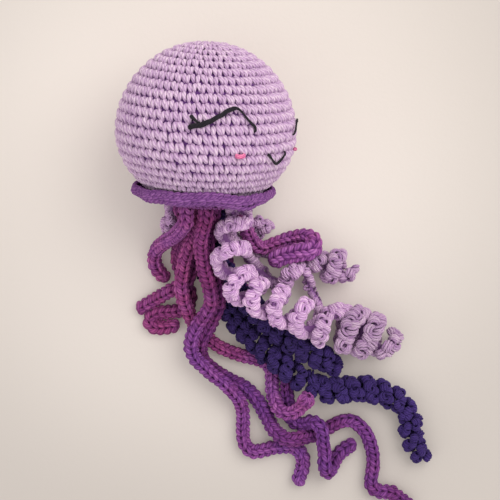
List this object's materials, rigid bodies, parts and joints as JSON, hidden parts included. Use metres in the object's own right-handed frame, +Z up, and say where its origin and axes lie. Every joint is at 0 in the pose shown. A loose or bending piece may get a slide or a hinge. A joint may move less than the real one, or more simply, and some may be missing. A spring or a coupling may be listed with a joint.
{
  "type": "plush jellyfish",
  "caption": "Crocheted plush jellyfish lying on its side: a stuffed round bell with a sewn sleepy face, a frilled brim, and soft cord and corkscrew tentacles.",
  "frame": {"origin": "the middle of the small flat spot under the bell, on the surface that the toy lies on", "axes": "+Z is up from that surface, +Y points along the toy from the tentacles to the bell's crown, +X is to the right of the bell seen from above with the crown away from the viewer"},
  "size_m": [0.1882, 0.28, 0.1048],
  "materials": {
    "bell_cotton": "matte crocheted cotton, dusty lavender",
    "white_fibre": "loose polyester fibre filling",
    "base_cotton": "matte crocheted cotton, dark plum",
    "purple_cotton": "matte crocheted cotton, purple",
    "plum_cotton": "matte crocheted cotton, variegated plum to violet",
    "lavender_cotton": "matte crocheted cotton, lavender pink",
    "indigo_cotton": "matte crocheted cotton, dark indigo",
    "black_thread": "black embroidery yarn",
    "pink_thread": "pink embroidery yarn"
  },
  "bodies": {
    "root": {"bell_cover": "bell_cotton", "bell_stuffing": "white_fibre", "base_disc": "base_cotton", "brim_frill": "purple_cotton", "left_eye_stitches": "black_thread", "left_eye_lash": "black_thread", "right_eye_stitches": "black_thread", "right_eye_lash": "black_thread", "mouth_stitches": "black_thread", "left_cheek_stitch": "pink_thread", "right_cheek_stitch": "pink_thread", "plum_tentacle_left_loop": "plum_cotton", "plum_tentacle_folded": "plum_cotton", "plum_tentacle_raised_end": "plum_cotton", "plum_tentacle_left_tip": "plum_cotton", "plum_tentacle_lower": "plum_cotton", "plum_tentacle_longest": "plum_cotton", "plum_tentacle_hooked": "plum_cotton", "plum_tentacle_right_fold": "plum_cotton", "lavender_curl_long": "lavender_cotton", "lavender_curl_big_end": "lavender_cotton", "lavender_curl_left": "lavender_cotton", "lavender_curl_middle": "lavender_cotton", "lavender_curl_right": "lavender_cotton", "indigo_curl_short": "indigo_cotton", "indigo_curl_long": "indigo_cotton"}
  },
  "joints": []
}
